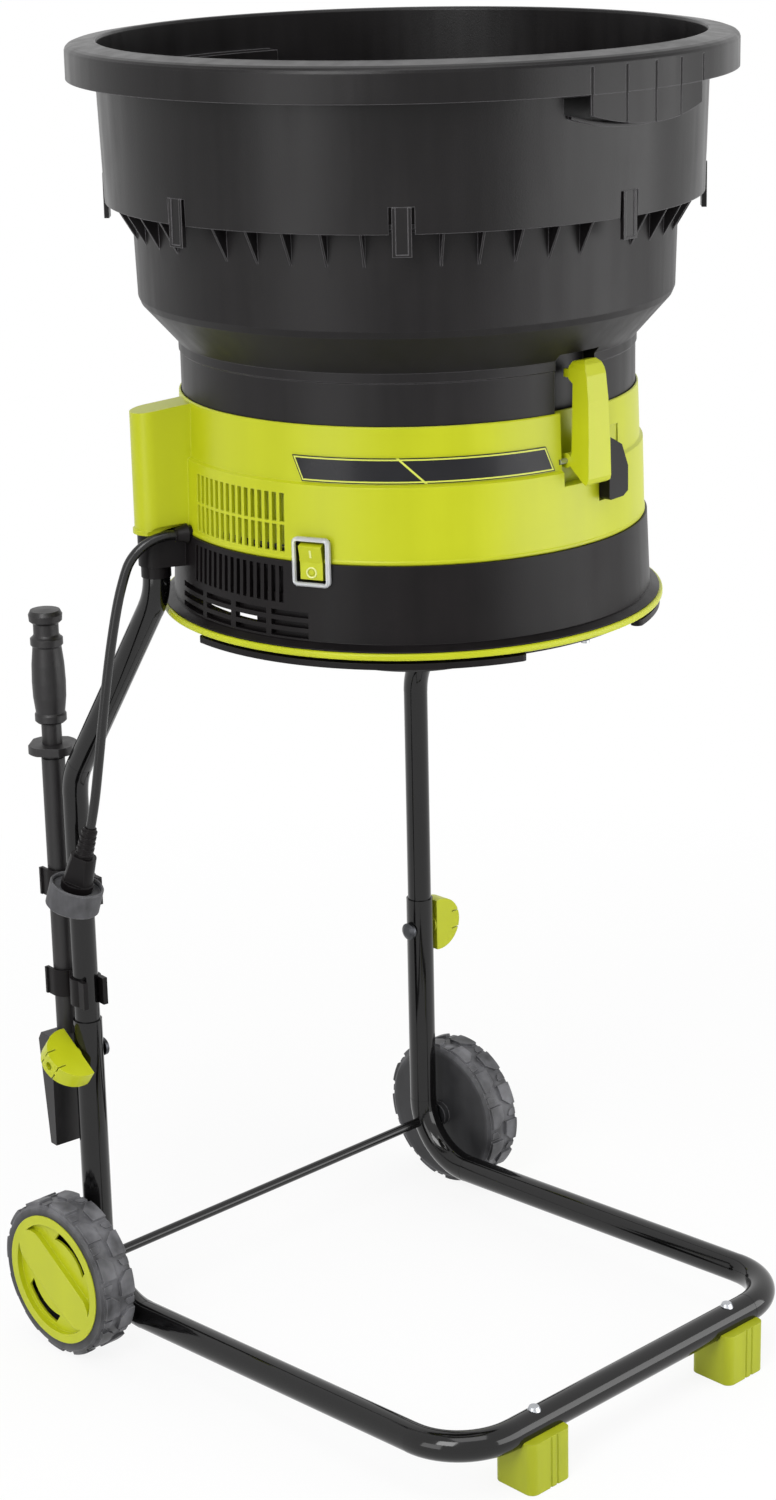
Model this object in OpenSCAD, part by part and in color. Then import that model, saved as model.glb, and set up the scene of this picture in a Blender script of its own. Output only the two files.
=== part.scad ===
// Leaf shredder on a wheeled tube stand. Millimetres, Z up, front (feet) towards -Y, wheels at +Y.

/* [Stand] */
// Half distance between the centrelines of the stand's tubes
frame_half_w = 225; // [205:1:240]
// Wheel radius, also the height of the axle
wheel_r = 78; // [72:0.5:84]
// Wheel width over the tread
wheel_w = 41; // [34:0.5:46]
// Outer diameter of the lower tube
tube_d = 28; // [26:0.5:30]
// Wall of the lower tube, which is also the step to the upper legs
tube_wall = 1.7; // [1.5:0.1:2]
// Wall of the upper legs
leg_wall = 1.5; // [1.2:0.1:1.8]
// Distance of the legs behind the middle of the stand
leg_y = 226; // [218:0.5:232]
// Distance of the front bar before the middle of the stand
bar_front = 275; // [268:0.5:280]
// Height of the front bar's centreline
bar_z = 55; // [50:0.5:60]
// Height of the arms' centreline where it meets the legs' line
arm_rear_z = 36; // [32:0.5:40]
// Bend radius of the lower tube at the front corners
front_bend_r = 62; // [55:1:62]
// Bend radius of the lower tube at the wheels
rear_bend_r = 64; // [58:1:68]
// Top of the lower tube
tube_top = 332; // [310:1:340]
// Lean of the legs' slanted run
leg_lean = 31.4; // [28:0.2:36]
// Bend radius of the upper legs
leg_bend_r = 60; // [50:1:70]
// Diameter of the axle rod
axle_d = 10; // [8:0.5:12]
// Running clearance of the wheels on the axle, radial
wheel_clear = 0.08; // [0.05:0.01:0.1]
// Foot length along the bar
foot_len = 52; // [46:1:60]
// Foot depth across the bar
foot_dep = 48.2; // [44:0.2:52]
// Diameter of the leg bolts
bolt_d = 8; // [6:0.5:9]
// Running clearance of the wing knobs on their bolts, radial
knob_clear = 0.05; // [0.03:0.01:0.1]
// Thickness of the wing knobs
wing_t = 18; // [14:0.5:19]
// Tread lugs in each row of a wheel
lug_n = 12; // [9:1:14]
// Height of the tread lugs
lug_h = 3.4; // [2.5:0.1:3.6]

/* [Housing] */
// Height of the trim ring's underside above the floor
base_z = 751; // [720:1:760]
// Distance of the hopper's axis before the middle of the stand
hop_front = 2; // [0:0.5:6]
// Outer radius of the black shell at its foot
low_r = 217.5; // [212:0.5:218]
// Height of the trim ring
trim_h = 6; // [5:0.5:8]
// Height of the black shell
low_h = 73; // [70:0.5:78]
// Height of the lime shell's lower band
band_h = 67; // [62:0.5:70]
// Height of the lime shell's upper band
top_h = 51; // [48:0.5:54]
// Wall of the shells
wall = 3; // [2.6:0.1:3.2]
// Angle of the leg bosses from the front
boss_ang = 117.4; // [115:0.2:120]
// Half width of the lime leg bosses
boss_hw = 17.5; // [17:0.25:18.5]
// Slots in each vent row
vent_n = 15; // [11:2:15]
// Width of one vent slot
vent_w = 4.6; // [3.6:0.2:5]
// Angle of the vents' middle from the front
vent_ang = 90.8; // [88:0.2:92]

// Height of the label
label_h = 22; // [16:1:24]
// Where the label starts, turned from the front
label_a1 = -73; // [-75:1:-60]
// Where the label ends, turned from the front
label_a2 = -8; // [-20:1:-6]
// Lean of the label's ends
label_lean = 23; // [0:1:30]

/* [Hopper] */
// Height from the lime shell's top to the cone's foot
neck_h = 45; // [40:0.5:50]
// Height of the cone
cone_h = 41; // [36:0.5:46]
// Height of the bowl
bowl_h = 83; // [76:0.5:90]
// Height of the tub's wall up to the rim's lower edge
tub_h = 106; // [100:0.5:114]
// Height of the rim
rim_h = 32; // [30:0.5:36]
// Outer radius of the rim
rim_r = 293; // [293:0.5:297]
// Outer radius of the bowl at its foot
bowl_r = 238.5; // [234:0.5:240]
// Outer radius of the tub at its lower edge
skirt_r = 264; // [262:0.5:266]
// Snap tabs round the tub
tab_n = 8; // [4:4:8]
// Gusset fins between two snap tabs
fin_n = 5; // [3:1:6]

// Radius of the grips' curved lower edge
grip_bow = 230; // [200:5:300]

/* [Drive] */
// Radius of the motor cup
cup_r = 88; // [80:1:92]
// Depth of the motor cup below the trim ring's underside
cup_drop = 56; // [48:1:60]
// Angle of the first motor arm from the front
arm_ang = 45; // [40:1:50]
// Reach of the cutting lines from the axis
line_reach = 178; // [150:1:182]
// Diameter of the cutting lines
line_d = 2.8; // [2:0.1:3.2]
// Running clearance of the motor shaft in its bearings, radial
shaft_clear = 0.05; // [0.03:0.01:0.1]

/* [Controls] */
// Width of the latch levers
lever_w = 29; // [26:0.5:32]
// Side gap between a lever and its channel
lever_gap = 6; // [5:0.5:8]
// Diameter of the latch pins
pin_d = 5; // [4:0.5:6]
// Running clearance of the levers on their pins, radial
pin_clear = 0.05; // [0.03:0.01:0.1]
// Free gap around the sliding locks
lock_gap = 0.5; // [0.4:0.1:0.8]
// Angle of the switch from the front, towards the left
switch_ang = 67.5; // [64:0.5:70]
// Free gap around the rocker
rocker_gap = 0.5; // [0.4:0.1:0.7]

/* [Pusher] */
// Distance of the pusher's axis behind the left leg
tool_off = 36; // [35.5:0.5:38]
// Radius of the pusher's tube
tool_r = 11.2; // [10:0.2:11.6]
// Free gap between the pusher and its clips
tool_gap = 0.4; // [0.3:0.1:0.6]
// Height of each clip
clip_h = 27; // [22:1:30]

/* [Cord] */
// Diameter of the cord
cord_d = 9; // [7:0.5:10]

/* [Hidden] */
$fn = 64;
hop_y = -hop_front;
bar_y = -bar_front;
leg_d = tube_d - 2 * tube_wall;
leg_r = leg_d / 2;
slope = atan((bar_z - arm_rear_z) / (leg_y - bar_y));
rear_turn = 90 + slope;
rear_cz = arm_rear_z + rear_bend_r * tan(rear_turn / 2);
arm_len = (leg_y - bar_y) / cos(slope) - rear_bend_r * tan(rear_turn / 2);
axle_drop = max(0, rear_cz - wheel_r);
axle_y = leg_y - rear_bend_r + sqrt(rear_bend_r * rear_bend_r - axle_drop * axle_drop);
wheel_x = frame_half_w + tube_d / 2 + 7.4;
bolt_z = tube_top - 34;
foot_x = frame_half_w - front_bend_r - 1 - foot_len / 2;
screw_x = foot_x - 2;

z_low = base_z + trim_h;
z_mid = z_low + low_h;
z_step = z_mid + band_h;
z_lime = z_step + top_h;
z_seat = z_lime - 18;
z_cone = z_lime + neck_h;
z_bowl = z_cone + cone_h;
z_skirt = z_bowl + bowl_h;
z_rim = z_skirt + tub_h;
z_top = z_rim + rim_h;

trim_r = low_r + 11.5;
low_rt = low_r - 3;
low_ri = low_rt - wall;
lime_r3 = low_r - 5.5;
lime_r2 = lime_r3 - 1.5;
lime_r1 = lime_r2 - 3;
lime_r0 = lime_r1 - 1.5;
neck_r = lime_r0 - 2.5;
bowl_rt = bowl_r + 2.5;
wall_r = skirt_r + 4;
boss_r = low_r + 21.3;
boss_top = z_lime - 2;
box_z = z_mid - 30;

leg_tx = -boss_r * sin(boss_ang);
leg_ty = hop_y - boss_r * cos(boss_ang);
leg_run = sqrt((leg_tx + frame_half_w) * (leg_tx + frame_half_w) + (leg_ty - leg_y) * (leg_ty - leg_y));
leg_head = atan2(leg_ty - leg_y, leg_tx + frame_half_w);
leg_z2 = base_z + 21;
leg_z1 = leg_z2 - leg_run / tan(leg_lean);
leg_t = leg_bend_r * tan(leg_lean / 2);
sleeve_z = leg_z2 + leg_t + 0.4;
leg_foot = tube_top - 92;
leg_end = z_mid - 8;

chan_hw = lever_w / 2 + lever_gap;
chan_y = lime_r1 - 10.5;
pin_y = lime_r1 - 2.5;
pin_z = z_step + 9;
lock_z = z_step - 3;
cup_z = base_z - cup_drop;
motor_z = cup_z + 1;
shaft_r = 5;
head_z = z_step - 4;
sw_z = z_mid + 2;
sw_y = low_rt + 1;
gland_ang = -111.5;
gland_z = z_mid + 1;
gland_y = low_r + 9.5;
clip_z1 = tube_top + 17;
clip_z2 = clip_z1 + 102;
tool_turn = -6;
slot_cols = [[-114, 11.4], [-101, 9.8], [-89.6, 9.6], [-78.6, 9.9]];

// Places along the cord, from the gland to the plug's ribbed sleeve
gx = sin(gland_ang) * gland_y;
gy = hop_y - cos(gland_ang) * gland_y;
plug_dir = [-0.12, 0.25, -0.961];
plug_p = [-272.4, 145.4, gland_z - 273.5];
cord_pts = [[gx, gy, gland_z],
  [gx + 5 * sin(gland_ang), gy - 5 * cos(gland_ang), gland_z],
  [-220.4, 84.8, gland_z - 0.3],
  [-229.3, 88.6, gland_z - 2.5],
  [-237.1, 92.7, gland_z - 7],
  [-243.2, 97, gland_z - 13.4],
  [-247.3, 101.2, gland_z - 21.4],
  [-249.6, 104.6, gland_z - 30.4],
  [-252.9, 109.7, gland_z - 49.3],
  [-255.5, 113.7, gland_z - 68.5],
  [-258.5, 118.9, gland_z - 97.7],
  [-261.1, 123.4, gland_z - 126.9],
  [-263.4, 127.5, gland_z - 156.3],
  [-265.5, 131.5, gland_z - 185.7],
  [-267.5, 135.4, gland_z - 215.1],
  [-269.6, 139.6, gland_z - 244.5],
  plug_p - 6 * plug_dir,
  plug_p];
ring_z = 58.6;
ring_h = 24;
ring_r = 25.2;
plug_tilt = acos(-plug_dir[2] / norm(plug_dir));
plug_az = atan2(plug_dir[1], plug_dir[0]);

lime = "#b9c634";
black = "#2a2a2d";
grey = "#3d3f42";
tube_c = "#3a3b3e";
steel = "#b8bbc0";
clear = "#d7dae2";

function lime_r(z) = lime_r1 + (lime_r0 - lime_r1) * (z - z_step - 2) / (z_lime - z_step - 3);

// Hopper axis, and a feature built facing -Y turned by an angle about that axis
module ax() { translate([0, hop_y, 0]) children(); }
module at(a) { ax() rotate([0, 0, a]) children(); }
// Part of a turned ring, centred on the front
module arc_ring(half, r0, r1, z0, z1) {
  rotate([0, 0, -90 - half])
    rotate_extrude(angle = 2 * half)
      translate([r0, z0])
        square([r1 - r0, z1 - z0]);
}
module stadium(hw, r0, rb) {
  translate([-hw, -rb]) square([2 * hw, rb - r0]);
  translate([0, -rb]) circle(r = hw);
}
module round_box(w, h, r) {
  translate([-w / 2 + r, -h / 2]) square([w - 2 * r, h]);
  translate([-w / 2, -h / 2 + r]) square([w, h - 2 * r]);
  for (sx = [-1, 1], sy = [-1, 1])
    translate([sx * (w / 2 - r), sy * (h / 2 - r)]) circle(r = r);
}

// Hopper tub with rim, grips and snap tabs
module hand_curve(drop) {
  translate([0, 0, z_rim - drop + grip_bow]) rotate([90, 0, 0]) cylinder(r = grip_bow, h = 400, $fn = 96);
}
module hand_cut() {
  intersection() {
    arc_ring(15.5, skirt_r - 14, wall_r + 6, z_rim - 29, z_rim - 4);
    hand_curve(28);
  }
}
module hand_shell() {
  difference() {
    intersection() {
      arc_ring(16.2, skirt_r - 17, wall_r - 3, z_rim - 33, z_rim - 1);
      hand_curve(31.4);
    }
    hand_cut();
  }
  difference() {
    intersection() {
      arc_ring(14.6, wall_r - 4, wall_r + 4, z_rim - 33, z_rim - 8);
      hand_curve(31.4);
    }
    hand_curve(28.6);
  }
  intersection() {
    arc_ring(13.5, rim_r - wall + 0.4, rim_r - 0.4, z_rim - 27, z_rim + 4);
    hand_curve(27);
  }
}
module tab_shape(hw) {
  translate([-hw, -18]) square([2 * hw, 40]);
}
module hopper_upper() {
  color(grey) {
    difference() {
      union() {
        difference() {
          ax() rotate_extrude($fn = 96)
            polygon([[skirt_r - wall, z_skirt], [skirt_r, z_skirt], [wall_r, z_top - 6], [rim_r - wall,
              z_top - 9],
              [rim_r - wall, z_rim], [rim_r, z_rim], [rim_r, z_top - 8], [rim_r - 0.8, z_top - 5.6],
              [rim_r - 2.6, z_top - 3.8], [rim_r - 6, z_top - 2.6], [wall_r + 2, z_top - 0.4], [wall_r,
                z_top],
              [wall_r - 2, z_top - 0.4], [wall_r - wall, z_top - 2.5], [skirt_r - wall + 0.15, z_skirt + 8],
              [skirt_r - wall - 6, z_skirt + 7], [skirt_r - wall - 6, z_skirt + 4], [skirt_r - wall,
                z_skirt + 4]]);
          for (a = [0, 180]) at(a) hand_cut();
          for (i = [0 : tab_n - 1], s = [-1, 1])
            at(i * 360 / tab_n) translate([s * 9.25 - 1.25, -skirt_r - 3, z_skirt - 1]) cube([2.5,
              wall + 3.4, 23]);
        }
        for (a = [0, 180]) at(a) hand_shell();
        for (i = [0 : tab_n - 1])
          at(i * 360 / tab_n) translate([0, -skirt_r + wall - 0.3, z_skirt]) rotate([90, 0, 0]) {
            linear_extrude(height = wall + 0.6) tab_shape(8);
            translate([0, 0, wall]) linear_extrude(height = 1.4) difference()
              { tab_shape(8); translate([-5, -16]) square([10, 60]); }
          }
      }
      for (a = [0, 180], g = [-13.4, -6.5, 0, 6.5, 13.4])
        at(a) rotate([0, 0, g]) translate([0, -rim_r - 0.4, z_rim - 30]) cylinder(r = 1.6, h = rim_h + 20,
          $fn = 24);
    }
  }
}

// Bowl with gusset fins, cone and neck
module neck_cut() {
  translate([-chan_hw - 4, -neck_r - 10, z_seat - 1]) cube([2 * chan_hw + 8, 23.5, z_cone + 7 - z_seat]);
}
module neck_shell() {
  difference() {
    intersection() {
      translate([-chan_hw - 6.5, -neck_r - 8, z_seat]) cube([2 * chan_hw + 13, 24, z_cone + 8.5 - z_seat]);
      rotate_extrude($fn = 96)
        polygon([[0, z_seat - 1], [neck_r - 0.4, z_seat - 1], [neck_r - 0.4, z_cone], [neck_r + 7.6,
          z_cone + 9.2],
          [0, z_cone + 9.2]]);
    }
    neck_cut();
  }
}
module hopper_lower() {
  color(grey) {
    difference() {
      ax() rotate_extrude($fn = 96)
        polygon([[neck_r, z_seat], [neck_r, z_cone - 9], [neck_r + 1.2, z_cone - 8], [neck_r + 1.2, z_cone],
          [bowl_r - 2.5, z_bowl - 6], [bowl_r, z_bowl], [bowl_rt, z_skirt + 1], [skirt_r - wall - 0.4,
            z_skirt + 1],
          [skirt_r - wall - 0.4, z_skirt + 4], [bowl_rt - wall, z_skirt + 4], [bowl_r - wall, z_bowl + 1],
          [bowl_r - 4 - wall, z_bowl - 5], [neck_r - wall, z_cone + 1], [neck_r - wall, z_seat]]);
      for (a = [0, 180]) at(a) neck_cut();
    }
    for (a = [0, 180]) at(a) neck_shell();
    for (i = [0 : tab_n - 1], k = [1 : fin_n])
      at(i * 360 / tab_n + k * 360 / tab_n / (fin_n + 1)) translate([1, 0, 0]) rotate([90, 0, -90])
        linear_extrude(height = 2)
          polygon([[bowl_rt - 1.6, z_skirt + 2], [skirt_r - wall - 2, z_skirt + 2], [bowl_rt - 1.6,
            z_skirt - 31]]);
  }
}

// Lime upper shell
module vents(r, z0, h) {
  for (s = [-1, 1], i = [0 : vent_n - 1])
    at(s * (vent_ang + (i - (vent_n - 1) / 2) * 2.15))
      translate([-vent_w / 2, -r - 6, z0]) cube([vent_w, 8, h]);
}
module boss(hw, z0, z1) {
  translate([0, 0, z0]) linear_extrude(height = z1 - z0) stadium(hw, lime_r0 - 12, boss_r);
}
module lime_core() {
  ax() rotate_extrude($fn = 96)
    polygon([[0, z_mid - 80], [lime_r3 - 1.4, z_mid - 80], [lime_r3 - 1.4, z_mid], [lime_r2 - 1.4, z_step],
      [lime_r1 - 1.4, z_step + 2], [lime_r0 - 0.9, z_lime], [lime_r0 - 0.9, z_lime + 30], [0, z_lime + 30]]);
}
module lime_bosses() {
  difference() {
    union() {
      for (s = [-1, 1]) at(s * boss_ang) {
        difference() {
          boss(boss_hw, z_mid, boss_top);
          translate([0, -boss_r - boss_hw, boss_top - 7]) rotate([8, 0, 0])
            translate([-40, -20, 0]) cube([80, 90, 40]);
        }
        boss(boss_hw + 1.6, z_mid, z_mid + 4);
      }
    }
    for (s = [-1, 1]) at(s * boss_ang) boss(boss_hw - 2.6, z_mid - 1, z_lime - 16);
    lime_core();
  }
}
module chan_cut() {
  translate([-chan_hw, -lime_r3 - 8, z_step - 12]) cube([2 * chan_hw, lime_r3 + 8 - chan_y, top_h + 20]);
  translate([chan_hw + 2.6, -lime_r3 - 8, lock_z - 29]) cube([37, lime_r3 + 8 - chan_y, 61]);
}
module chan_shell() {
  difference() {
    union() {
      translate([-chan_hw - 2.2, -lime_r2 + 1.4, z_step - 14.5])
        cube([2 * chan_hw + 4.4, lime_r2 - 1.4 - chan_y + 2.4, top_h + 14.5]);
      translate([chan_hw + 0.4, -lime_r1 + 2, lock_z - 31.4]) cube([41.6, lime_r1 - 2 - chan_y + 2.4, 65.8]);
    }
    chan_cut();
    translate([chan_hw + 8, -chan_y - 2, lock_z - 4]) cube([26, 6, 8]);
    translate([0, 0, -0.1]) difference() {
      translate([0, 0, z_step]) cylinder(r = lime_r3 + 40, h = top_h + 20, $fn = 96);
      cylinder(r = lime_r0, h = 2000, $fn = 96);
    }
  }
}
module lime_open() {
  for (a = [0, 180]) at(a) {
    chan_cut();
    translate([-chan_hw - 3, -pin_y, pin_z]) rotate([0, 90, 0]) cylinder(d = pin_d, h = 2 * chan_hw + 6,
      $fn = 32);
  }
  at(-switch_ang) translate([0, -low_r - 5, sw_z]) rotate([-90, 0, 0])
    linear_extrude(height = 30) square([30, 38], center = true);
  gland_hole(7.2);
}
module gland_hole(r) {
  at(gland_ang) translate([0, -low_ri + 14, gland_z]) rotate([90, 0, 0]) {
    cylinder(r = r, h = 60, $fn = 32);
    translate([0, 0, low_rt - low_ri + 14.6]) cylinder(r = 9.4, h = 50, $fn = 32);
  }
}
module housing_upper() {
  color(lime) {
    difference() {
      union() {
        ax() rotate_extrude($fn = 96)
          polygon([[lime_r3 - wall, z_mid], [lime_r3, z_mid], [lime_r3 + 0.6, z_mid + 1], [lime_r3 + 0.6,
            z_mid + 3],
            [lime_r3, z_mid + 4], [lime_r2, z_step], [lime_r1, z_step + 2], [lime_r0, z_lime - 1],
            [lime_r0 - 0.8, z_lime], [neck_r + 0.7, z_lime], [neck_r + 0.7, z_seat], [neck_r - 7.5, z_seat],
            [neck_r - 7.5, z_seat - 3], [lime_r1 - wall, z_seat - 6], [lime_r1 - wall, z_step - 1],
            [lime_r2 - wall, z_step - 4]]);
        lime_bosses();
      }
      lime_open();
      vents(lime_r2 - 1.6, z_mid + 7, 23.5);
      vents(lime_r2 - 1.6, z_mid + 33, 25);
    }
    for (s = [-1, 1]) at(s * vent_ang) {
      arc_ring(18, lime_r2 - 9, lime_r2 - 6.8, z_mid + 11, z_mid + 62.4);
      arc_ring(18, lime_r2 - 9, lime_r2 - 1.6, z_mid + 60, z_mid + 62.4);
    }
    difference() {
      for (a = [0, 180]) at(a) chan_shell();
      for (a = [0, 180])
        at(a) translate([-chan_hw - 3, -pin_y, pin_z]) rotate([0, 90, 0])
          cylinder(d = pin_d, h = 2 * chan_hw + 6, $fn = 32);
    }
  }
}

// Black lower shell
module low_core() {
  ax() cylinder(r = low_ri + 1.4, h = z_mid + 20, $fn = 96);
}
module screw_at() {
  for (i = [0 : 2]) at(i * 120) translate([0, -low_ri - 3, 0]) children();
}
module housing_lower() {
  color(black) {
    difference() {
      union() {
        ax() rotate_extrude($fn = 96)
          polygon([[low_ri, z_low], [trim_r - 3, z_low], [trim_r - 3, z_low + 1.2],
            [low_r + 2, z_low + 4.6], [low_r, z_low + 5.2],
            [low_rt, z_mid], [low_ri - 3.2, z_mid], [low_ri - 3.2, z_mid + 9], [low_ri - 5.6, z_mid + 9],
            [low_ri - 5.6, z_mid - 6], [low_ri, z_mid - 10]]);
        for (s = [-1, 1]) at(s * vent_ang) {
          arc_ring(18, low_ri - 13, low_ri - 11, z_mid - 40, z_mid - 3);
          arc_ring(18, low_ri - 13, low_ri - 4.4, z_mid - 5.4, z_mid - 3);
        }
        difference() {
          union() {
            for (s = [-1, 1]) at(s * boss_ang) {
              boss(leg_r + 3.2, box_z, z_mid);
              translate([0, -boss_r, sleeve_z]) cylinder(r = leg_r + 1.2, h = z_mid - sleeve_z - 1);
            }
          }
          low_core();
        }
      }
      for (s = [-1, 1]) at(s * boss_ang) translate([0, -boss_r, sleeve_z - 1]) cylinder(r = leg_r,
        h = leg_end - sleeve_z + 1);
      vents(low_rt - 1.2, z_mid - 37, 32);
      for (s = [-1, 1], c = slot_cols, j = [0 : 2])
        at(s * (c[0] + c[1] / 2)) arc_ring(c[1] / 2, low_ri - 8, low_r + 6, z_low + 6.5 + j * 9,
          z_low + 11.5 + j * 9);
      at(-switch_ang) translate([0, -low_r - 5, sw_z]) rotate([-90, 0, 0])
        linear_extrude(height = 30) square([30, 38], center = true);
      gland_hole(6.5);
      for (a = [0, 180]) at(a) translate([-chan_hw - 4, -low_ri - 1, z_mid + 4]) cube([2 * chan_hw + 46,
        30, 20]);
      screw_at() translate([0, 0, z_low - 1]) cylinder(r = 2, h = 24, $fn = 24);
      for (s = [-1, 1]) screw_leg(s) cylinder(r = 2, h = 40, $fn = 24);
    }
  }
}
module trim_ring() {
  color(lime)
    difference() {
      ax() rotate_extrude($fn = 96)
        polygon([[low_ri, base_z], [trim_r - 1.5, base_z], [trim_r - 0.4, base_z + 0.6], [trim_r,
          base_z + 1.8],
          [trim_r, z_low - 1.8], [trim_r - 0.4, z_low - 0.6], [trim_r - 1.5, z_low], [low_ri, z_low]]);
      screw_at() translate([0, 0, base_z - 1]) cylinder(r = 2, h = trim_h + 2, $fn = 24);
    }
}
module bag_ring() {
  color(black)
    difference() {
      union() {
        ax() rotate_extrude($fn = 96)
          translate([low_ri - 8, base_z - 5]) square([13.5, 5]);
        for (a = [-60, 60, 180]) at(a) {
          arc_ring(40, low_ri + 4, trim_r - 2.5, base_z - 8.5, base_z - 3);
          for (e = [-40, 40]) rotate([0, 0, e]) translate([0, -trim_r + 8, base_z - 8.5])
            cylinder(r = 5.5, h = 5.5);
        }
      }
      screw_at() translate([0, 0, base_z - 12]) cylinder(r = 2, h = 20, $fn = 24);
    }
}
module housing_screws() {
  color(steel)
    screw_at() {
      translate([0, 0, base_z - 6]) cylinder(r = 2, h = trim_h + 26, $fn = 24);
      translate([0, 0, base_z - 7.5]) cylinder(r = 3.8, h = 2.5, $fn = 24);
    }
}
module label_plate() {
  z1 = z_step + 3;
  z2 = z_step + 3 + label_h;
  color(black)
    difference() {
      ax() rotate([0, 0, -90 + label_a1])
        rotate_extrude(angle = label_a2 - label_a1)
          polygon([[lime_r(z1) + 0.1, z1], [lime_r(z1) + 1.1, z1], [lime_r(z2) + 1.1, z2], [lime_r(z2)
            + 0.1, z2]]);
      at(label_a1) translate([0, -lime_r1 - 4, z2]) rotate([0, -label_lean, 0]) translate([-30, 0, -40])
        cube([30, 14, 60]);
      at(label_a2) translate([-label_h * tan(label_lean), -lime_r1 - 4, z2]) rotate([0, -label_lean, 0])
        translate([0, 0, -40]) cube([30, 14, 60]);
    }
}

// Drive
module motor_spider() {
  color(black)
    difference() {
      union() {
        ax() rotate_extrude($fn = 96) translate([low_ri - 9, z_low]) square([9, 12]);
        ax() rotate_extrude($fn = 96)
          polygon([[0, cup_z], [cup_r - 26, cup_z], [cup_r - 8, cup_z + 3], [cup_r, cup_z + 10], [cup_r,
            z_low + 43],
            [cup_r - 3, z_low + 43], [cup_r - 3, cup_z + 14], [cup_r - 14, cup_z + 4], [0, cup_z + 4]]);
        for (i = [0 : 2]) at(i * 120 + arm_ang) {
          translate([-8, -low_ri + 5, z_low]) cube([16, low_ri - 5 - cup_r + 2, 8]);
          translate([-2, -low_ri + 5, z_low + 1]) cube([4, low_ri - 5 - cup_r + 2, 30]);
        }
      }
      for (i = [0 : 11]) ax() rotate([0, 0, i * 30]) translate([-2.5, 30, cup_z - 1]) cube([5, 26, 3.1]);
    }
}
module cup_cap() {
  color(black)
    ax() rotate_extrude($fn = 96)
      polygon([[cup_r - 3, z_low + 43], [cup_r + 1, z_low + 43], [cup_r + 1, z_low + 60], [cup_r - 6,
        z_low + 80],
        [cup_r - 30, z_low + 105], [30, head_z - 8], [12, head_z - 6], [12, head_z - 9], [29, head_z - 11],
        [cup_r - 32, z_low + 102], [cup_r - 9, z_low + 78], [cup_r - 3, z_low + 60]]);
}
module motor_can() {
  color(steel)
    ax() rotate_extrude()
      polygon([[11, motor_z + 3], [50, motor_z + 3], [50, motor_z + 150], [11, motor_z + 150], [11,
        motor_z + 143],
        [47, motor_z + 143], [47, motor_z + 10], [11, motor_z + 10]]);
}
module field_core() {
  color("#8d6b45")
    ax() difference() {
      translate([0, 0, motor_z + 44]) cylinder(r = 47, h = 72);
      translate([0, 0, motor_z + 43]) cylinder(r = 34, h = 74);
    }
}
module bearing(z) {
  color(steel)
    ax() difference() {
      translate([0, 0, z]) cylinder(r = 11, h = 7);
      translate([0, 0, z - 1]) cylinder(r = shaft_r + shaft_clear, h = 9);
    }
}
module bearing_lower() { bearing(motor_z + 3); }
module bearing_upper() { bearing(motor_z + 143); }
module motor_shaft() {
  color(steel) ax() translate([0, 0, motor_z + 5]) cylinder(r = shaft_r, h = head_z + 32 - motor_z - 5);
}
module on_shaft(r, z, h) {
  ax() difference() {
    translate([0, 0, z]) cylinder(r = r, h = h);
    translate([0, 0, z - 1]) cylinder(r = shaft_r, h = h + 2);
  }
}
module armature() {
  color("#7a5a3a")
    difference() {
      on_shaft(32, motor_z + 46, 68);
      for (i = [0 : 11]) ax() rotate([0, 0, i * 30]) translate([-1.5, 27, motor_z + 45]) cube([3, 8, 70]);
    }
}
module fan() {
  color(black) {
    on_shaft(43, motor_z + 16, 2.5);
    on_shaft(10, motor_z + 18, 12);
    for (i = [0 : 8]) ax() rotate([0, 0, i * 40]) translate([9, -1, motor_z + 18]) cube([32, 2, 11]);
  }
}
module line_dirs() {
  for (i = [0 : 3]) at(i * 90 + 20) children();
}
module line_head() {
  color(black)
    difference() {
      union() {
        on_shaft(46, head_z, 5);
        on_shaft(34, head_z + 4, 14);
      }
      line_dirs() translate([0, -24, head_z + 11]) rotate([90, 0, 0]) cylinder(d = line_d, h = 60, $fn = 16);
    }
}
module cutting_lines() {
  color("#d8842c")
    line_dirs() translate([0, -24, head_z + 11]) rotate([90, 0, 0]) cylinder(d = line_d,
      h = line_reach - 24, $fn = 16);
}
module head_nut() {
  color(steel)
    ax() difference() {
      translate([0, 0, head_z + 18]) cylinder(r = 9, h = 7, $fn = 6);
      translate([0, 0, head_z + 17]) cylinder(r = shaft_r, h = 9);
    }
}

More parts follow.
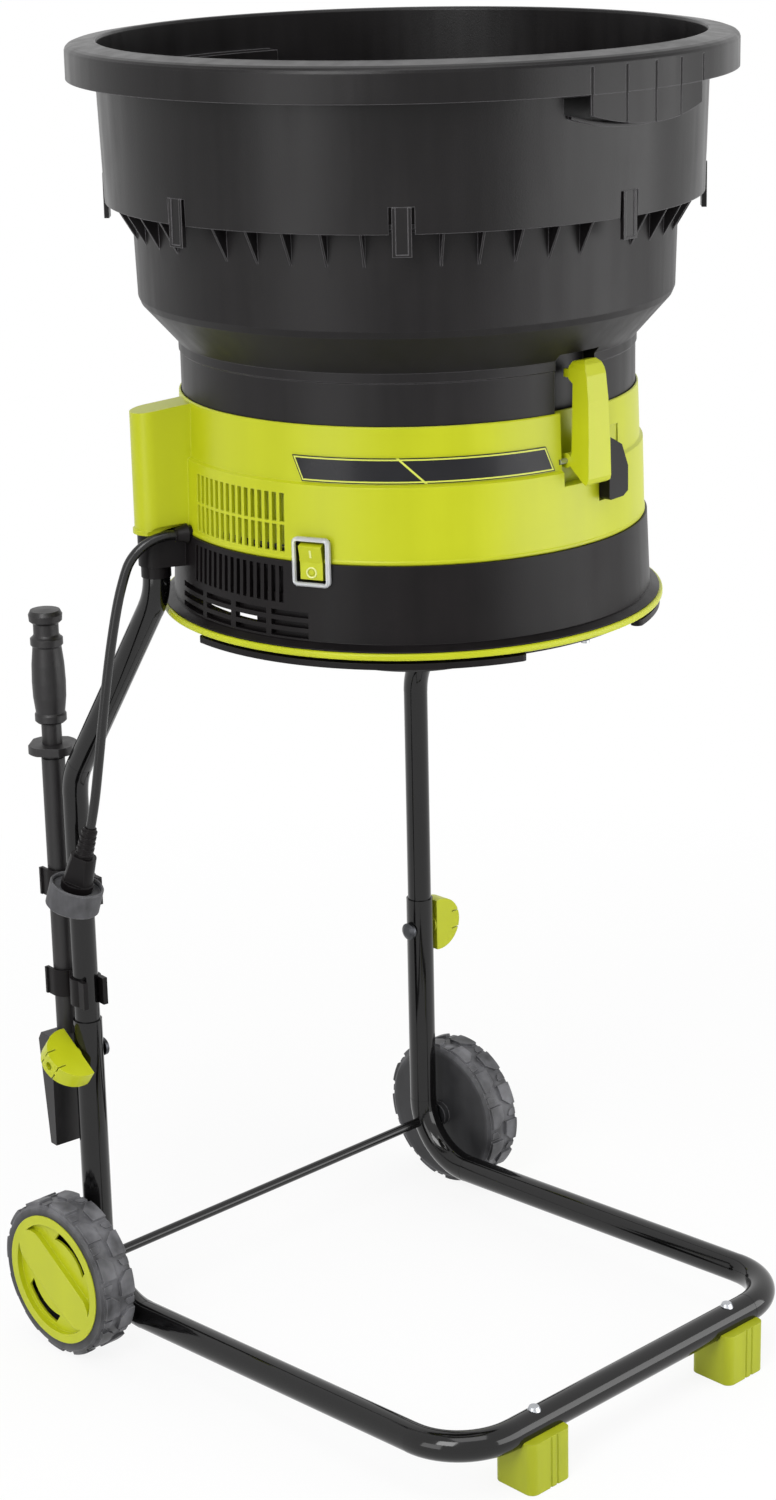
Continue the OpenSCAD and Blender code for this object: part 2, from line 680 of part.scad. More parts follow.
// Switch
module switch_frame() {
  color(clear)
    at(-switch_ang) translate([0, -sw_y, sw_z]) rotate([90, 0, 0])
      difference() {
        union() {
          linear_extrude(height = 3.4) round_box(35, 43, 5);
          translate([0, 0, 3.3]) linear_extrude(height = 2) round_box(31, 39, 4);
          translate([-15, -19, -9]) cube([30, 38, 9.1]);
        }
        translate([-10.5 - rocker_gap, -16.5 - rocker_gap, -12]) cube([21 + 2 * rocker_gap,
          33 + 2 * rocker_gap, 30]);
        translate([-14, 0, -4]) rotate([0, 90, 0]) cylinder(r = 2.06, h = 28, $fn = 32);
      }
}
module switch_rocker() {
  color(lime)
    at(-switch_ang) translate([0, -sw_y, sw_z]) rotate([90, 0, 0]) translate([0, 0, -4]) {
      rotate([0, 90, 0]) cylinder(r = 2, h = 26, center = true, $fn = 32);
      difference() {
        intersection() {
          rotate([0, 90, 0]) cylinder(r = 16.5, h = 21, center = true);
          rotate([7, 0, 0]) rotate([90, 0, 90]) translate([0, 0, -12])
            linear_extrude(height = 24) polygon([[-30, -4], [30, -4], [30, 7.5], [16, 7.5], [0, 5.6],
              [-16, 7.5], [-30, 7.5]]);
        }
        rotate([7, 0, 0]) translate([-0.9, 5.5, 6.2]) cube([1.8, 6, 4]);
        rotate([7, 0, 0]) translate([0, -8.5, 6]) difference() {
          cylinder(r = 3.6, h = 4, $fn = 32);
          translate([0, 0, -1]) cylinder(r = 2.2, h = 6, $fn = 32);
        }
      }
    }
}

// Latches
module lever_side() {
  yo = lime_r1 + 24;
  polygon([[-pin_y - 3.5, pin_z - 3], [-yo + 4, z_step - 10], [-yo + 1, z_step - 8], [-yo, z_step - 4],
    [-yo + 0.3, z_step + 30], [-yo + 1.6, z_step + 62], [-yo + 4, z_step + 84], [-yo + 7, z_step + 93],
    [-yo + 11, z_step + 97], [-lime_r1 - 2, z_step + 95], [-lime_r1 + 1, z_step + 91], [-lime_r1 + 1,
      z_step + 80],
    [-lime_r1 - 4, z_step + 76], [-lime_r1 - 4, pin_z + 8]]);
}
module lever_face() {
  w0 = lever_w / 2;
  w1 = w0 - 2.5;
  polygon([[-w0 + 1.5, z_step - 12], [w0 - 1.5, z_step - 12], [w0, z_step - 8], [w1, z_step + 89],
    [w1 - 2, z_step + 94],
    [w1 - 6, z_step + 98], [-w1 + 6, z_step + 98], [-w1 + 2, z_step + 94], [-w1, z_step + 89], [-w0,
      z_step - 8]]);
}
module lever_solid() {
  difference() {
    union() {
      intersection() {
        translate([-lever_w, 0, 0]) rotate([90, 0, 90]) linear_extrude(height = 2 * lever_w) lever_side();
        translate([0, -lime_r1 + 20, 0]) rotate([90, 0, 0]) linear_extrude(height = 60) lever_face();
      }
      translate([-lever_w / 2 + 0.4, -pin_y, pin_z]) rotate([0, 90, 0]) cylinder(r = 6.5, h = lever_w - 0.8);
      translate([-9, -lime_r1 + 0.5, z_step + 80]) cube([18, 9, 7]);
    }
    translate([-lever_w, -pin_y, pin_z]) rotate([0, 90, 0])
      cylinder(d = pin_d + 2 * pin_clear, h = 2 * lever_w, $fn = 64);
  }
}
module lever_front() { color(lime) at(0) lever_solid(); }
module lever_rear() { color(lime) at(180) lever_solid(); }
module lever_pins() {
  color(steel)
    for (a = [0, 180]) at(a) translate([-chan_hw - 2, -pin_y, pin_z]) rotate([0, 90, 0])
      cylinder(d = pin_d, h = 2 * chan_hw + 4, $fn = 64);
}
module lock_solid() {
  x0 = chan_hw + 2.6 + lock_gap;
  translate([0, -chan_y - lock_gap, 0]) rotate([90, 0, 0])
    linear_extrude(height = 24)
      polygon([[x0, lock_z + 29], [x0 + 16, lock_z + 20], [x0 + 24, lock_z], [x0 + 24, lock_z - 22],
        [x0 + 18, lock_z - 26], [x0 + 2, lock_z - 27], [x0, lock_z - 25]]);
  translate([chan_hw + 8 + lock_gap, -chan_y - lock_gap - 0.5, lock_z - 4 + lock_gap])
    cube([16, 6, 8 - 2 * lock_gap]);
}
module lock_front() { color(black) at(0) lock_solid(); }
module lock_rear() { color(black) at(180) lock_solid(); }

// Cord and plug
module cord_gland() {
  color(black)
    at(gland_ang) translate([0, -low_ri + 2, gland_z]) rotate([90, 0, 0]) {
      cylinder(r = 6.5, h = gland_y - low_ri - 3, $fn = 32);
      cylinder(r = 5.5, h = gland_y - low_ri + 2, $fn = 32);
      translate([0, 0, low_rt - low_ri + 3]) cylinder(r1 = 9, r2 = 5.5, h = gland_y - low_rt - 3, $fn = 32);
    }
}
function cr(a, b, c, d, t) = 0.5 * (2 * b + (c - a) * t + (2 * a - 5 * b + 4 * c - d) * t * t
  + (3 * b - a - 3 * c + d) * t * t * t);
function path_pt(p, i, t) = cr(p[max(i - 1, 0)], p[i], p[i + 1], p[min(i + 2, len(p) - 1)], t);
function unit(v) = v / norm(v);
module sweep(p, d, sides) {
  n = len(p);
  dirs = [for (i = [0 : n - 1]) unit(p[min(i + 1, n - 1)] - p[max(i - 1, 0)])];
  rings = [for (i = [0 : n - 1]) let (t = dirs[i], s = unit(cross(t, [0.72, 0.69, 0])), u = cross(s, t))
    for (k = [0 : sides - 1]) p[i] + d / 2 * (cos(k * 360 / sides) * s + sin(k * 360 / sides) * u)];
  body = [for (i = [0 : n - 2], k = [0 : sides - 1]) let (m = (k + 1) % sides)
    [i * sides + k, i * sides + m, (i + 1) * sides + m, (i + 1) * sides + k]];
  lid_a = [[for (k = [sides - 1 : -1 : 0]) k]];
  lid_b = [[for (k = [0 : sides - 1]) (n - 1) * sides + k]];
  polyhedron(points = rings, faces = concat(body, lid_a, lid_b), convexity = 6);
}
module cord() {
  n = len(cord_pts);
  fine = concat([cord_pts[0]], [for (i = [1 : n - 3], t = [0, 0.5]) path_pt(cord_pts, i, t)],
    [cord_pts[n - 2], cord_pts[n - 1]]);
  color(black) sweep(fine, cord_d, 12);
}
module at_plug() {
  translate(plug_p) rotate([0, 0, plug_az]) rotate([0, 180 - plug_tilt, 0]) children();
}
module plug_body() {
  color(black)
    at_plug() {
      cylinder(r1 = 6, r2 = 8, h = 30, $fn = 32);
      for (i = [0 : 4]) translate([0, 0, 3 + i * 5.6]) cylinder(r = 7.4 + i * 0.3, h = 2.6, $fn = 32);
      translate([0, 0, 29]) difference() {
        cylinder(r1 = 12, r2 = 15, h = 39, $fn = 32);
        for (s = [-1, 1]) translate([-20, s * 20 - 10, -1]) cube([40, 20, 27.9]);
      }
      translate([0, 0, 56]) cylinder(r = 15, h = 12, $fn = 32);
    }
}
module plug_shroud() {
  color(grey)
    at_plug() translate([0, 0, ring_z]) difference() {
      rotate_extrude()
        polygon([[15, 4.5], [ring_r - 3, 4.5], [ring_r - 3, 1.6], [ring_r - 2, 0], [ring_r - 0.8, 0],
          [ring_r, 1.2],
          [ring_r, ring_h - 1], [ring_r - 1, ring_h], [ring_r - 3, ring_h], [ring_r - 3, 8.5], [15, 8.5]]);
    }
}
module plug_blades() {
  color(steel)
    at_plug() {
      for (s = [-1, 1]) translate([s * 6.35 - 0.75, -3.2, 68]) cube([1.5, 6.4, 15]);
      translate([0, 11.9, 68]) cylinder(r = 2.4, h = 15, $fn = 24);
    }
}

// Stand
module pipe(h, ro, ri) {
  difference() {
    cylinder(r = ro, h = h);
    translate([0, 0, -1]) cylinder(r = ri, h = h + 2);
  }
}
// A bend's wall is a hair thicker both ways, and the straight runs reach lap mm into it
lap = 2;
module pipe_bend(turn, bend, ro, ri) {
  rotate_extrude(angle = turn) translate([bend, 0]) difference() {
    circle(r = ro + 0.15);
    circle(r = ri - 0.15);
  }
}
module axle_hole() {
  translate([0, axle_y, wheel_r]) rotate([0, 90, 0]) cylinder(d = axle_d, h = 2 * frame_half_w + 60,
    center = true);
}
module bolt_hole() {
  translate([0, leg_y, bolt_z]) rotate([0, 90, 0]) cylinder(d = bolt_d, h = 2 * frame_half_w + 60,
    center = true);
}
module lower_frame() {
  ro = tube_d / 2;
  color(tube_c) {
    difference() {
      translate([-frame_half_w + front_bend_r - lap, bar_y, bar_z]) rotate([0, 90, 0])
        pipe(2 * (frame_half_w - front_bend_r + lap), ro, leg_r);
      for (s = [-1, 1]) translate([s * screw_x, bar_y, bar_z - 20]) cylinder(r = 3, h = 40, $fn = 32);
    }
    translate([0, bar_y, bar_z]) rotate([-slope, 0, 0])
      for (s = [-1, 1]) {
        translate([s * (frame_half_w - front_bend_r), front_bend_r, 0]) rotate([0, 0, s < 0 ? 180 : 270])
          pipe_bend(90, front_bend_r, ro, leg_r);
        translate([s * frame_half_w, front_bend_r - lap, 0]) rotate([-90, 0, 0])
          pipe(arm_len - front_bend_r + 2 * lap, ro, leg_r);
      }
    for (s = [-1, 1]) {
      difference() {
        translate([s * frame_half_w, leg_y - rear_bend_r, rear_cz]) rotate([90, 0, 90]) rotate([0, 0,
          -rear_turn])
          pipe_bend(rear_turn, rear_bend_r, ro, leg_r);
        axle_hole();
      }
      difference() {
        translate([s * frame_half_w, leg_y, rear_cz - lap]) pipe(tube_top - rear_cz + lap, ro, leg_r);
        bolt_hole();
      }
    }
  }
}
module screw_leg(s) {
  at(s * boss_ang) translate([0, -boss_r - leg_r - 4.2, box_z + 12]) rotate([-90, 0, 0]) children();
}
module leg_solid() {
  ri = leg_r - leg_wall;
  difference() {
    translate([-frame_half_w, leg_y, leg_foot]) pipe(leg_z1 - leg_t - leg_foot + lap, leg_r, ri);
    bolt_hole();
  }
  translate([-frame_half_w, leg_y, 0]) rotate([0, 0, leg_head]) {
    translate([leg_bend_r, 0, leg_z1 - leg_t]) rotate([90, 0, 0]) rotate([0, 0, 180 - leg_lean])
      pipe_bend(leg_lean, leg_bend_r, leg_r, ri);
    translate([0, 0, leg_z1]) rotate([0, leg_lean, 0]) translate([0, 0, leg_t - lap])
      pipe(leg_run / sin(leg_lean) - 2 * leg_t + 2 * lap, leg_r, ri);
    translate([leg_run - leg_bend_r, 0, leg_z2 + leg_t]) rotate([90, 0, 0]) rotate([0, 0, -leg_lean])
      pipe_bend(leg_lean, leg_bend_r, leg_r, ri);
  }
  difference() {
    translate([leg_tx, leg_ty, leg_z2 + leg_t - lap]) pipe(leg_end - leg_z2 - leg_t + lap, leg_r, ri);
    screw_leg(-1) cylinder(r = 2, h = 14, $fn = 24);
  }
}
module leg_left() { color(tube_c) leg_solid(); }
module leg_right() { color(tube_c) mirror([1, 0, 0]) leg_solid(); }
module leg_screws() {
  color(steel)
    for (s = [-1, 1]) screw_leg(s) {
      translate([0, 0, -1]) cylinder(r = 3.8, h = 2, $fn = 24);
      cylinder(r = 2, h = 12, $fn = 24);
    }
}
module leg_bolts() {
  color(steel)
    for (s = [-1, 1]) translate([s * frame_half_w, leg_y, bolt_z]) rotate([0, s * 90, 0]) {
      translate([0, 0, -tube_d / 2 - 4]) cylinder(d = bolt_d, h = tube_d + 30);
      translate([0, 0, -tube_d / 2 - 6]) cylinder(r1 = 5, r2 = 9, h = 2.2);
      translate([0, 0, -tube_d / 2 - 3.8]) cylinder(r = 9, h = 3.6);
    }
}
// D-shaped wing knob, bolt axis along +X, wing standing in the XZ plane
module knob_solid() {
  difference() {
    union() {
      translate([0, wing_t / 2, 0]) rotate([90, 0, 0]) linear_extrude(height = wing_t)
        intersection() { translate([7, 0]) circle(r = 28); translate([1.5, -40]) square([60, 80]); }
      rotate([0, 90, 0]) cylinder(r = 8.5, h = 5);
    }
    translate([-1, 0, 0]) rotate([0, 90, 0]) cylinder(d = bolt_d + 2 * knob_clear, h = 60);
    for (s = [-1, 1], f = [0, 1]) mirror([0, f, 0]) translate([24, -wing_t / 2 - 1, s * 9.5 - 0.6])
      cube([20, wing_t * 0.4 + 1, 1.2]);
  }
}
module knob_left() {
  color(lime) translate([-frame_half_w - tube_d / 2 - 1, leg_y, bolt_z]) rotate([-53, 0, 0]) mirror([1, 0,
    0]) knob_solid();
}
module knob_right() {
  color(lime) translate([frame_half_w + tube_d / 2 + 1, leg_y, bolt_z]) knob_solid();
}
module axle_rod() {
  color(tube_c) translate([0, axle_y, wheel_r]) rotate([0, 90, 0])
    cylinder(d = axle_d, h = 2 * (wheel_x + wheel_w - 7.9), center = true);
}
module axle_nuts() {
  color(steel)
    for (s = [-1, 1]) translate([s * (wheel_x + wheel_w - 10.4), axle_y, wheel_r]) rotate([0, s * 90, 0])
      difference() {
        cylinder(r = 9, h = 2.4);
        translate([0, 0, -1]) cylinder(d = axle_d, h = 5);
      }
}
// Wheel, inner face at z 0, outer face at z wheel_w; two staggered rows of lugs with low blocks between
module lug_shape(v) { polygon([[0, -12.5], [0, 11], [6.5, 11], [v, 3], [v, -12.5]]); }
module lug_low(v) { polygon([[0, -4], [0, 3], [v - 6, 3], [v - 6, 0], [v - 9, -4]]); }
module lug_rows(deep) {
  v = wheel_w / 2 - 4.6;
  for (i = [0 : lug_n - 1]) {
    rotate([0, 0, i * 360 / lug_n]) translate([wheel_r - 8, 0, wheel_w - 3]) rotate([0, 90, 0])
      linear_extrude(height = 10) if (deep) lug_low(v); else lug_shape(v);
    rotate([0, 0, (i + 0.5) * 360 / lug_n]) translate([wheel_r + 2, 0, 3]) rotate([0, -90, 0])
      linear_extrude(height = 10) if (deep) lug_low(v); else lug_shape(v);
  }
}
module wheel_solid() {
  b = axle_d / 2 + wheel_clear;
  r = wheel_r;
  rc = wheel_r - lug_h;
  w = wheel_w;
  rotate_extrude($fn = 96)
    polygon([[b, -6.6], [13, -6.6], [13, 0], [r - 7, 0], [rc, 2.4], [rc, w - 2.2], [r - 5.6, w], [r - 13, w],
      [r - 13, w - 5], [r - 16, w - 5], [r - 16, 5], [14, 5], [14, w - 11], [b, w - 11]]);
  intersection() {
    lug_rows(false);
    difference() {
      cylinder(r = r, h = w, $fn = 96);
      translate([0, 0, -1]) cylinder(r = rc - 1.5, h = w + 2, $fn = 96);
    }
  }
  intersection() {
    rotate([0, 0, 180 / lug_n]) lug_rows(true);
    difference() {
      cylinder(r = r - lug_h / 2, h = w, $fn = 96);
      translate([0, 0, -1]) cylinder(r = rc - 1.3, h = w + 2, $fn = 96);
    }
  }
}
module hub_solid() {
  r = wheel_r - 13;
  w = wheel_w;
  difference() {
    union() {
      translate([0, 0, w - 5]) cylinder(r = r, h = 6);
      translate([0, 0, w - 7.4]) cylinder(r = r - 4, h = 3);
    }
    difference() {
      translate([0, 0, w - 4.8]) cylinder(r = r - 9, h = 10);
      translate([0, 0, w - 6]) linear_extrude(height = 14) round_box(40, 2 * r - 14, 19.9);
    }
    for (s = [-1, 1]) intersection() {
      difference() {
        translate([0, 0, w - 9]) cylinder(r = r - 14, h = 9);
        translate([0, 0, w - 10]) cylinder(r = r - 24, h = 12);
      }
      translate([s > 0 ? 25 : -65, -24, w - 10]) cube([40, 48, 14]);
    }
  }
}
module at_wheel(s) {
  translate([s * wheel_x, axle_y, wheel_r]) rotate([0, s * 90, 0]) rotate([0, 0, s * 35]) children();
}
module wheel_left() { color(black) at_wheel(-1) wheel_solid(); }
module wheel_right() { color(black) at_wheel(1) wheel_solid(); }
module hub_cover_left() { color(lime) at_wheel(-1) hub_solid(); }
module hub_cover_right() { color(lime) at_wheel(1) hub_solid(); }
module foot_solid(s) {
  difference() {
    translate([s * foot_x, bar_y, 0]) linear_extrude(height = bar_z - 4) round_box(foot_len, foot_dep, 8);
    translate([0, bar_y, bar_z]) rotate([0, 90, 0]) cylinder(r = tube_d / 2, h = 3 * frame_half_w,
      center = true);
    for (x = [-1, 7], y = [-1, 1])
      translate([s * foot_x + x, bar_y + y * (foot_dep / 2 + 0.5), -1]) cylinder(r = 1.6, h = bar_z,
        $fn = 24);
    translate([s * screw_x, bar_y, 20]) cylinder(r = 3, h = 60, $fn = 32);
  }
}
module foot_left() { color(lime) foot_solid(-1); }
module foot_right() { color(lime) foot_solid(1); }
module foot_screws() {
  color(steel)
    for (s = [-1, 1]) translate([s * screw_x, bar_y, 0]) {
      translate([0, 0, 20]) cylinder(r = 3, h = bar_z + tube_d / 2 - 18.8, $fn = 32);
      difference() {
        translate([0, 0, bar_z + tube_d / 2 - 2]) cylinder(r1 = 6.8, r2 = 4.5, h = 4.8, $fn = 32);
        translate([0, 0, bar_z]) rotate([0, 90, 0]) cylinder(r = tube_d / 2 + 0.05, h = 40, center = true);
      }
    }
}

// Pusher in its clips; local +Y runs from the left leg to the pusher
module at_leg() { translate([-frame_half_w, leg_y, 0]) rotate([0, 0, tool_turn]) children(); }
module clip_shape() {
  ti = tool_r + tool_gap;
  difference() {
    union() {
      circle(r = leg_r + 3);
      translate([0, tool_off]) circle(r = ti + 3);
      translate([-4, leg_r]) square([8, tool_off - leg_r - ti]);
      for (s = [-1, 1]) {
        translate([s * (ti + 1.5) - 1.5, tool_off]) square([3, 11]);
        translate([s * (ti + 1.5) - 1.5 + s * 1.5, tool_off + 8]) square([3, 3]);
        translate([s * 11 - 2.5, -leg_r - 5]) square([5, 9]);
      }
    }
    circle(r = leg_r);
    translate([0, tool_off]) circle(r = ti);
    translate([-ti, tool_off]) square([2 * ti, 40]);
    translate([-8.5, -40]) square([17, 40]);
  }
}
module clip_at(z) {
  color(black) at_leg() translate([0, 0, z]) linear_extrude(height = clip_h) clip_shape();
}
module tool_clip_lower() { clip_at(clip_z1); }
module tool_clip_upper() { clip_at(clip_z2); }
module at_tool() { at_leg() translate([0, tool_off, 0]) children(); }
tool_z = clip_z2 + 137;
module tool_grip() {
  color(black) at_tool() translate([0, 0, tool_z]) rotate_extrude()
    polygon([[0, 14], [9.5, 14], [9.5, 34], [13, 35], [15, 37], [15, 43], [13.8, 45], [15.6, 60], [16,
      75], [15.4, 92],
      [13.6, 109], [15.4, 111], [15.4, 117], [13, 119], [12, 121], [12, 131], [15.5, 134], [16, 140], [14,
        144], [0, 145]]);
}
module tool_guard() {
  color(black) at_tool() translate([0, 0, tool_z]) difference() {
    union() {
      translate([0, 0, 6]) cylinder(r = 23.5, h = 8);
      cylinder(r = 9, h = 7);
    }
    for (i = [0 : 3]) rotate([0, 0, 45 + 90 * i]) translate([21, -15, 5]) cube([8, 30, 12]);
  }
}
module tool_tube() {
  color(black) at_tool() difference() {
    translate([0, 0, clip_z1 - 40]) cylinder(r = tool_r, h = tool_z - clip_z1 + 40);
    translate([0, 0, clip_z1 - 41]) cylinder(r = tool_r - 2, h = 30);
  }
}
module tool_paddle() {
  color(black) at_tool() {
    translate([-24, 0, 0]) rotate([90, 0, 90]) linear_extrude(height = 48)
      polygon([[-5, clip_z1 - 155], [5, clip_z1 - 155], [17, clip_z1 - 48], [12, clip_z1 - 40], [-6,
        clip_z1 - 40]]);
    translate([0, 0, clip_z1 - 40]) cylinder(r = tool_r - 2, h = 20);
  }
}

hopper_upper();
hopper_lower();
housing_upper();
housing_lower();
trim_ring();
bag_ring();
housing_screws();
label_plate();
motor_spider();
cup_cap();
motor_can();
field_core();
bearing_lower();
bearing_upper();
motor_shaft();
armature();
fan();
line_head();
cutting_lines();
head_nut();
switch_frame();
switch_rocker();
lever_front();
lever_rear();
lever_pins();
lock_front();
lock_rear();
cord_gland();
cord();
plug_body();
plug_shroud();
plug_blades();
lower_frame();
leg_left();
leg_right();
leg_bolts();
leg_screws();
knob_left();
knob_right();
axle_rod();
axle_nuts();
wheel_left();
wheel_right();
hub_cover_left();
hub_cover_right();
foot_left();
foot_right();
foot_screws();
tool_clip_upper();
tool_clip_lower();
tool_grip();
tool_guard();
tool_tube();
tool_paddle();
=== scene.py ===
import math

import bpy
import bmesh
from mathutils import Vector, Matrix


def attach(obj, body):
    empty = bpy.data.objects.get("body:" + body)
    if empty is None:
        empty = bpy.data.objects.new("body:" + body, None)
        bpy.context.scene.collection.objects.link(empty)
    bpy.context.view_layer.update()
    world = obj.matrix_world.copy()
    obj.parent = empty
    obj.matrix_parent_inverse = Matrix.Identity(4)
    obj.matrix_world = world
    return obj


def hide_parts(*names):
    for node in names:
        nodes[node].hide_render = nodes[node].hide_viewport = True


mm = 0.001
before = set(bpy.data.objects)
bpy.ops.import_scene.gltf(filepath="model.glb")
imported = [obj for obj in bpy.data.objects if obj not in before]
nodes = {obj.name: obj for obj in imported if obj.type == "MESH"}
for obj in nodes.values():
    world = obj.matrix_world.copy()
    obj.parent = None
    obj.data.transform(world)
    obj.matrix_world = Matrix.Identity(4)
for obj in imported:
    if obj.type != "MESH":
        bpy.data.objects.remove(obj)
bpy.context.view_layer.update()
scene = bpy.context.scene
print("frame loaded:", len(nodes), "nodes")


def fromHex(text):
    rgb = [int(text[i:i + 2], 16) / 255 for i in (1, 3, 5)]
    return [c / 12.92 if c <= 0.04045 else ((c + 0.055) / 1.055) ** 2.4 for c in rgb] + [1.0]


def addNode(tree, kind, inputs=None, **settings):
    node = tree.nodes.new(kind)
    for key, value in settings.items():
        setattr(node, key, value)
    for key, value in (inputs or {}).items():
        if isinstance(value, bpy.types.NodeSocket):
            tree.links.new(value, node.inputs[key])
        else:
            node.inputs[key].default_value = value
    return node


def newMaterial(name):
    mat = bpy.data.materials.new(name)
    mat.use_nodes = True
    tree = mat.node_tree
    tree.nodes.clear()
    out = addNode(tree, "ShaderNodeOutputMaterial")
    skin = addNode(tree, "ShaderNodeBsdfPrincipled")
    tree.links.new(skin.outputs[0], out.inputs[0])
    place = addNode(tree, "ShaderNodeTexCoord")
    return mat, tree, skin, place.outputs["Object"]


# camera at the photograph's angle, fitted to the rim, the drum, the tubes, the wheels and the feet
cameraSet = {
    "place": (-1928.9, -1974.1, 1484.2), "azimuth": -43.836, "elevation": 17.788, "roll": -1.2556,
    "lens": 74.4835, "sensor": 36, "clip": (0.05, 60),
}
az, el, roll = (math.radians(cameraSet[k]) for k in ("azimuth", "elevation", "roll"))
back = Vector((math.sin(az) * math.cos(el), -math.cos(az) * math.cos(el), math.sin(el)))
right = Vector((math.cos(az), math.sin(az), 0))
up = back.cross(right)
turned = math.cos(roll) * right + math.sin(roll) * up
upright = back.cross(turned)
cam = bpy.data.objects.new("camera", bpy.data.cameras.new("camera"))
scene.collection.objects.link(cam)
basis = Matrix((turned, upright, back)).transposed().to_4x4()
cam.matrix_world = Matrix.Translation(Vector(cameraSet["place"]) * mm) @ basis
cam.data.lens, cam.data.sensor_width = cameraSet["lens"], cameraSet["sensor"]
cam.data.clip_start, cam.data.clip_end = cameraSet["clip"]
scene.camera = cam
print("camera set")

# white studio: white to the camera, in reflections and through clear plastic; its light on the object
# is dimmer from the camera's own side
scene.view_settings.view_transform = "Standard"
roomSet = {"tilt": 0.15, "near": (-0.7, 0.07), "far": (0.55, 1.0)}  # near and far: direction, brightness
world = bpy.data.worlds.new("studio")
scene.world = world
world.use_nodes = True
wt = world.node_tree
wt.nodes.clear()
sky = addNode(wt, "ShaderNodeTexCoord").outputs["Generated"]
ahead = (-back.x, -back.y, roomSet["tilt"])
away = addNode(wt, "ShaderNodeVectorMath", {0: sky, 1: ahead}, operation="DOT_PRODUCT").outputs["Value"]
room = addNode(wt, "ShaderNodeMapRange", {
    "Value": away, 1: roomSet["near"][0], 2: roomSet["far"][0],
    3: roomSet["near"][1], 4: roomSet["far"][1]})
ray = addNode(wt, "ShaderNodeLightPath").outputs
seen = addNode(wt, "ShaderNodeMath", {
    0: ray["Is Camera Ray"], 1: ray["Is Transmission Ray"]}, operation="MAXIMUM")
seen = addNode(wt, "ShaderNodeMath", {
    0: seen.outputs[0], 1: ray["Is Glossy Ray"]}, operation="MAXIMUM")
plain = addNode(wt, "ShaderNodeMath", {0: room.outputs[0], 1: seen.outputs[0]}, operation="MAXIMUM")
bg = addNode(wt, "ShaderNodeBackground", {"Color": (1, 1, 1, 1), "Strength": plain.outputs[0]})
wt.links.new(bg.outputs[0], addNode(wt, "ShaderNodeOutputWorld").inputs[0])

lightSet = {
    "keyLeft": {"at": (-2.4, -0.9, 2.3), "aim": (0, 0, 0.8), "size": (1.2, 1.6), "watts": 47},
    "stripLeft": {"at": (-2.5, -0.3, 0.66), "aim": (0, 0, 0.66), "size": (1.1, 1.2), "watts": 9.5},
    "sideRight": {"at": (0.99, -1.91, 0.66), "aim": (0, 0, 0.66), "size": (2.5, 1.2), "watts": 28.5},
    "top": {"at": (-0.6, -1.0, 3.4), "aim": (0, 0, 0.8), "size": (1.8, 1.8), "watts": 22},
}
for name, v in lightSet.items():
    lamp = bpy.data.lights.new(name, "AREA")
    lamp.shape = "RECTANGLE"
    lamp.size, lamp.size_y = v["size"]
    lamp.energy = v["watts"]
    ob = bpy.data.objects.new(name, lamp)
    scene.collection.objects.link(ob)
    ob.location = v["at"]
    ob.rotation_euler = (Vector(v["aim"]) - Vector(v["at"])).to_track_quat("-Z", "Y").to_euler()

# pale floor: keep is the share of it that takes shade, and it fades to plain white between two distances
floorSet = {"half": 1.7, "drop": 0.5, "keep": 0.12, "fade": (0.5, 1.6), "paper": 0.86}
bm = bmesh.new()
bmesh.ops.create_grid(bm, x_segments=1, y_segments=1, size=floorSet["half"])
floorMesh = bpy.data.meshes.new("floor")
bm.to_mesh(floorMesh)
bm.free()
floor = bpy.data.objects.new("floor", floorMesh)
scene.collection.objects.link(floor)
floor.location.z = -floorSet["drop"] * mm
mat = bpy.data.materials.new("studio paper, matt")
mat.use_nodes = True
ft = mat.node_tree
ft.nodes.clear()
ray = addNode(ft, "ShaderNodeLightPath").outputs
seen = addNode(ft, "ShaderNodeMath", {
    0: ray["Is Camera Ray"], 1: ray["Is Glossy Ray"]}, operation="MAXIMUM")
seen = addNode(ft, "ShaderNodeMath", {
    0: seen.outputs[0], 1: ray["Is Transmission Ray"]}, operation="MAXIMUM")
spot = addNode(ft, "ShaderNodeTexCoord").outputs["Object"]
reach = addNode(ft, "ShaderNodeVectorMath", {0: spot}, operation="LENGTH").outputs["Value"]
fade = addNode(ft, "ShaderNodeMapRange", {
    "Value": reach, 1: floorSet["fade"][0], 2: floorSet["fade"][1], 3: 1 - floorSet["keep"], 4: 1.0})
share = addNode(ft, "ShaderNodeMath", {0: seen.outputs[0], 1: fade.outputs[0]}, operation="MULTIPLY")
paper = addNode(ft, "ShaderNodeBsdfDiffuse", {"Color": (*[floorSet["paper"]] * 3, 1)})
glow = addNode(ft, "ShaderNodeEmission", {"Color": (1, 1, 1, 1), "Strength": 1.0})
blend = addNode(ft, "ShaderNodeMixShader", {0: share.outputs[0], 1: paper.outputs[0], 2: glow.outputs[0]})
ft.links.new(blend.outputs[0], addNode(ft, "ShaderNodeOutputMaterial").inputs[0])
floorMesh.materials.append(mat)
print("studio set")


# moulded plastics: one colour right through, a fine spark-eroded grain, and soft edges painted paler,
# partly as wear and partly as painted highlight.
# sizes are in millimetres, and the grain is drawn coarser than the real one so that it shows
plasticSet = {
    "draw": 0.08,  # the flow marks are stretched upwards, along the pull of the mould
    "tintSpan": (0.12, 0.42), "roughSpan": (0.1, 0.45),  # parts of the pattern's range that are used
    "edgeSpan": (0.99, 0.85),  # how far an edge's softened normal turns from its face
    "edgeSamples": 6, "depth": 0.3,
}
hazeSpan = (0.3, 0.7)  # the part of a noise pattern's range that the other finishes use


